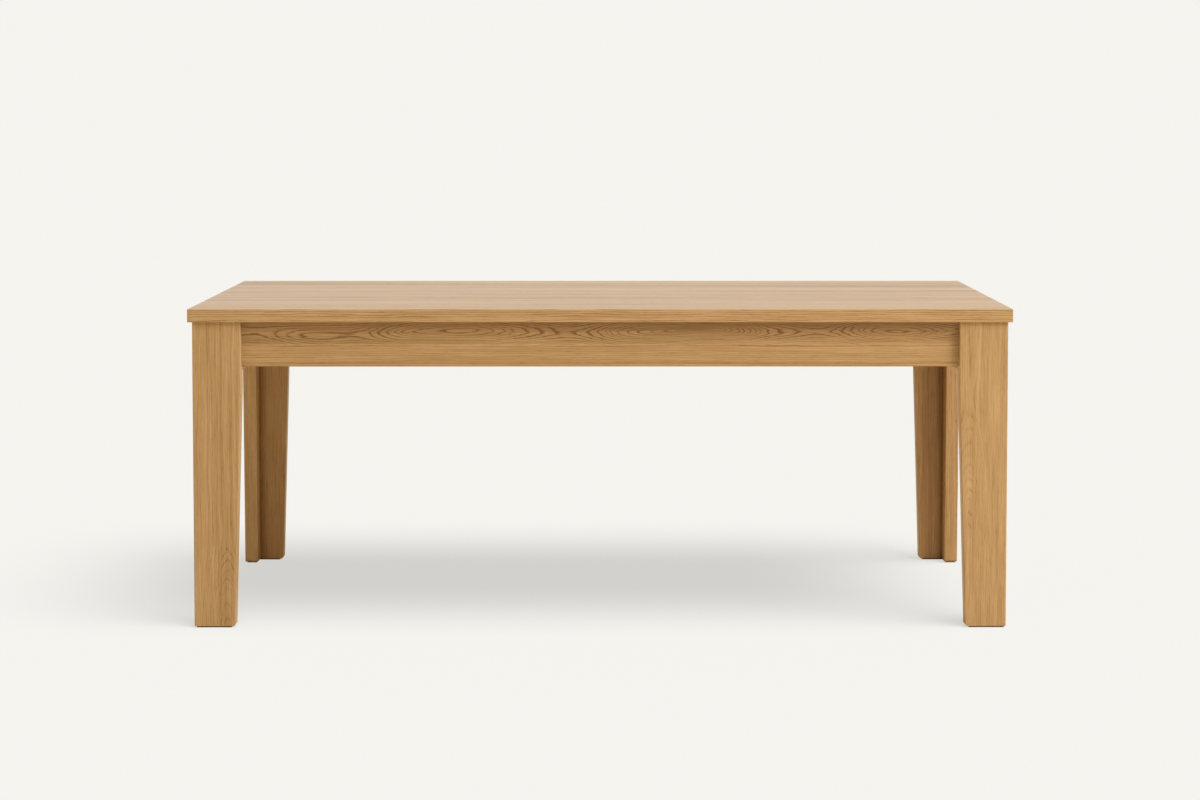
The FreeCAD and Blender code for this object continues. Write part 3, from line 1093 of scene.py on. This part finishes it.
@dataclass
class Studio:
    """Pale floor, soft light and the camera.

    The floor that the eye sees glows in the backdrop's colour but for the share that one soft
    lamp of its own gives it, so it keeps the table's shadow and nothing else. A second floor,
    unseen, throws the other lamps' light back up as a real one does.

    Args:
        backdrop: colour of the background and of the lit floor.
        ambient: light from all round.
        bounce: colour of the floor that throws light back up.
        bounce_level: its height.
        shade: share of the floor's brightness that its own lamp gives.
        lamps: the lamps on the table.
        floor_lamp: the lamp on the floor alone.
        view: the camera.
    """

    backdrop: Triple = (0.911, 0.900, 0.861)
    ambient: Triple = (0.32, 0.290, 0.215)
    bounce: Triple = (0.84, 0.725, 0.490)
    bounce_level: float = -0.0005
    shade: float = 0.285
    lamps: Sequence[Lamp] = (
        Lamp("Key", 0.90, height=31, side=58, spread=28, distance=12, tint=(0.905, 1.0, 1.26), glints=False),
        Lamp("Overhead", 0.20, height=78, side=20, spread=50, glints=False),
        Lamp("Front fill", 0.09, height=8, side=-52, spread=30, glints=False),
        Lamp("Back fill", 0.33, height=25, side=170, spread=60, glints=False),
    )
    floor_lamp: Lamp = Lamp("Floor lamp", 5.0, height=65, side=50, spread=45)
    view: View = View()

    def build(self) -> None:
        """Sets up the whole studio."""
        self.make_world()
        seen, unseen = self.make_floors()
        for lamp in self.lamps:
            self.link_light(lamp.build(), seen, "EXCLUDE")
        self.link_light(self.floor_lamp.build(), seen, "INCLUDE")
        self.view.build()
        bpy.context.scene.view_settings.view_transform = "Standard"
        log.info("studio: %s, %s, %d lamps, camera", seen.name, unseen.name, len(self.lamps) + 1)

    def make_world(self) -> None:
        """A plain surround: the backdrop's colour to the eye and to gloss, dimmer as light."""
        world = bpy.data.worlds.new("Surround")
        bpy.context.scene.world = world
        world.use_nodes = True
        g = Graph(world.node_tree)
        path = g.node("ShaderNodeLightPath").outputs
        mirrored = g.math("MAXIMUM", path["Is Glossy Ray"], path["Is Transmission Ray"])
        seen = g.math("MAXIMUM", path["Is Camera Ray"], mirrored)
        g.fill(world.node_tree.nodes["Background"], {"Color": g.mix(seen, self.ambient, self.backdrop)})

    def make_floors(self) -> Tuple[bpy.types.Object, bpy.types.Object]:
        """The floor that is seen and the one that throws light back.

        Returns:
            The seen floor and the unseen one.
        """
        own = self.floor_lamp.level * math.sin(math.radians(self.floor_lamp.height))
        albedo = tuple(self.shade * c / own for c in self.backdrop)
        glow = tuple((1 - self.shade) * c - a * w for c, a, w in zip(self.backdrop, albedo, self.ambient))
        seen = self.make_floor("floor", 0.0, albedo, glow)
        seen.visible_diffuse = seen.visible_glossy = seen.visible_transmission = seen.visible_shadow = False
        unseen = self.make_floor("floor_bounce", self.bounce_level, self.bounce, (0.0, 0.0, 0.0))
        unseen.visible_camera = False
        return seen, unseen

    def make_floor(self, name: str, level: float, albedo: Triple, glow: Triple) -> bpy.types.Object:
        """A round, flat floor about the origin.

        Args:
            name: its name.
            level: its height.
            albedo: colour that its lamps light.
            glow: colour that it gives off by itself.

        Returns:
            The floor.
        """
        radii = np.array([0.0, 2.0, 5.0, 10.0, 20.0, 45.0, 120.0])
        points = turned(radii[:, None], np.full(len(radii), level), angles(96))
        vertices, quads = grid_mesh(points)
        mesh = bpy.data.meshes.new(name)
        mesh.from_pydata(vertices.tolist(), [], quads.tolist())
        material, g, principled = shader(name)
        g.fill(principled, {"Base Color": (*albedo, 1.0), "Roughness": 1.0, "Specular IOR Level": 0.0})
        g.fill(principled, {"Emission Color": (*glow, 1.0), "Emission Strength": 1.0})
        mesh.materials.append(material)
        floor = bpy.data.objects.new(name, mesh)
        bpy.context.scene.collection.objects.link(floor)
        return floor

    def link_light(self, lamp: bpy.types.Object, floor: bpy.types.Object, state: str) -> None:
        """Lets a lamp light only the seen floor, or all but that floor.

        Args:
            lamp: the lamp.
            floor: the seen floor.
            state: "INCLUDE" for the first, "EXCLUDE" for the second.
        """
        receivers = bpy.data.collections.new(f"{lamp.name} on {floor.name}")
        receivers.objects.link(floor)
        receivers.collection_objects[0].light_linking.link_state = state
        lamp.light_linking.receiver_collection = receivers


# ---- the table
def top_boards() -> List[Board]:
    """The eight boards of the top, front to rear, each from another log.

    Returns:
        The boards. The first is also the front edge, and has the quietest bands.
    """
    tones = (0.04, 0.06, -0.04, 0.08, -0.04, 0.04, 0.03, -0.03)
    across = (0.07, -0.10, 0.12, -0.06, 0.09, -0.12, 0.05, -0.08)
    front = (-0.10, -0.06, -0.14, -0.08, -0.05, -0.12, -0.07, -0.10)
    boards = []
    for i, tone in enumerate(tones):
        name = f"top_board_{i + 1}"
        cut = Cut(across=across[i], front=front[i], wander=0.004)
        seed = 11.3 * (i + 1)
        look = {"bands": 0.9, "contrast": 1.1} if i == 0 else {"bands": 2.9, "contrast": 1.5}
        boards.append(Board(name, Way.RIGHT, Way.UP, cut, seed, tone, figure=1.2, **look))
    return boards


def apron_boards() -> List[Board]:
    """The boards of the aprons: figured above, straight-grained below.

    Returns:
        The boards.
    """
    sides = (
        ("front_apron", Way.RIGHT, Way.FRONT),
        ("rear_apron", Way.LEFT, Way.REAR),
        ("left_end_apron", Way.REAR, Way.LEFT),
        ("right_end_apron", Way.FRONT, Way.RIGHT),
    )
    figured = Cut(across=0.005, front=0.022, ring=0.0029, wander=0.0290, bends=2.8)
    straight = Cut(across=0.05, front=-0.05, ring=0.0036, wander=0.0015)
    boards = []
    for i, (name, grain, face) in enumerate(sides):
        above = {"seed": 5.1 + 7.7 * i, "tone": -0.11, "figure": 1.25, "bands": 1.7}
        below = {"seed": 2.4 + 9.1 * i, "figure": 0.8}
        boards.append(Board(f"{name}_upper_board", grain, face, figured, **above))
        boards.append(Board(f"{name}_lower_board", grain, face, straight, **below))
    return boards


def leg_boards() -> List[Board]:
    """The boards of the legs: straight grain, with arches where the log leant into the saw.

    Returns:
        The boards.
    """
    left = Cut(across=-0.022, front=0.044, ring=0.0040, wander=0.001, lean=(0.0, 0.15), lean_end=-0.18)
    right = Cut(
        across=0.032, front=0.040, ring=0.0034, wander=0.008, bends=4.0, lean=(0.0, 0.10), lean_end=0.10
    )
    faces = {
        Corner.FRONT_LEFT: left,
        Corner.FRONT_RIGHT: right,
        Corner.REAR_LEFT: Cut(across=0.05, front=-0.07, ring=0.0028, wander=0.002),
        Corner.REAR_RIGHT: Cut(across=-0.06, front=-0.06, ring=0.0026, wander=0.002),
    }
    end = Cut(across=-0.04, front=-0.09, ring=0.0026, wander=0.003, bends=2.6)
    # Painted light and shade: the rear right face board is darker for the shade it stands in, and the rear
    # left end board is paler for the light on its front edge.
    tones = {Corner.REAR_LEFT: (0.02, 0.15), Corner.REAR_RIGHT: (-0.14, -0.04)}
    boards = []
    for i, corner in enumerate(Corner):
        sx, sy = corner.value
        outwards = Way.RIGHT if sx > 0 else Way.LEFT
        ahead = Way.REAR if sy > 0 else Way.FRONT
        face_tone, end_tone = tones.get(corner, (0.0, 0.0))
        face_name, end_name = f"{corner.prefix}_leg_face_board", f"{corner.prefix}_leg_end_board"
        # The nook is the inside corner of the leg's L, which painted shade darkens on both boards.
        # Index 0 of a box is its low corner, which is the inner one where the sign is positive.
        nook = (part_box(end_name)[sx < 0].x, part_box(face_name)[sy < 0].y, 0.0)
        face_look = {"seed": 3.3 + 6.1 * i, "tone": face_tone, "figure": 0.42, "bands": 0.9, "contrast": 1.1}
        end_look = {"seed": 8.8 + 4.9 * i, "tone": end_tone, "figure": 0.7}
        boards.append(Board(face_name, Way.UP, ahead, faces[corner], nook=nook, **face_look))
        boards.append(Board(end_name, Way.UP, outwards, end, nook=nook, **end_look))
    return boards


def frame_boards() -> List[Board]:
    """The core blocks, the corner braces and the cross rail.

    Returns:
        The boards.
    """
    boards = [Board("centre_cross_rail", Way.REAR, Way.RIGHT, Cut(across=0.05), seed=61.0)]
    for i, corner in enumerate(Corner):
        sx, sy = corner.value
        diagonal = Way.FALLING if sx * sy > 0 else Way.RISING
        block, brace = f"{corner.prefix}_leg_core_block", f"{corner.prefix}_corner_brace"
        boards.append(Board(block, Way.UP, Way.FRONT, seed=71.0 + i, tone=-0.02))
        boards.append(Board(brace, diagonal, Way.UP, seed=81.0 + i, tone=0.02))
    return boards


def main() -> None:
    """Builds and dresses the whole table, then the studio."""
    logging.basicConfig(level=logging.INFO, format="%(message)s")
    grain_group()
    edge_group()
    make_painted_corner_shade()
    for name, boards in (
        ("top", top_boards()),
        ("aprons", apron_boards()),
        ("legs", leg_boards()),
        ("frame", frame_boards()),
    ):
        Woodwork(name, boards).build()
    beech = BeechFinish().material()
    dress("top_buttons", beech)
    for corner in Corner:
        for piece in ("leg_spline", "long_apron_tenon", "end_apron_tenon"):
            dress(f"{corner.prefix}_{piece}", beech)
    felt = FeltFinish().material()
    for corner in Corner:
        dress(f"{corner.prefix}_foot_pads", felt)
    metal = ZincFinish().material()
    CornerHardware(metal).build()
    ButtonScrews(metal).build()
    Studio().build()


if __name__ == "__main__":
    main()
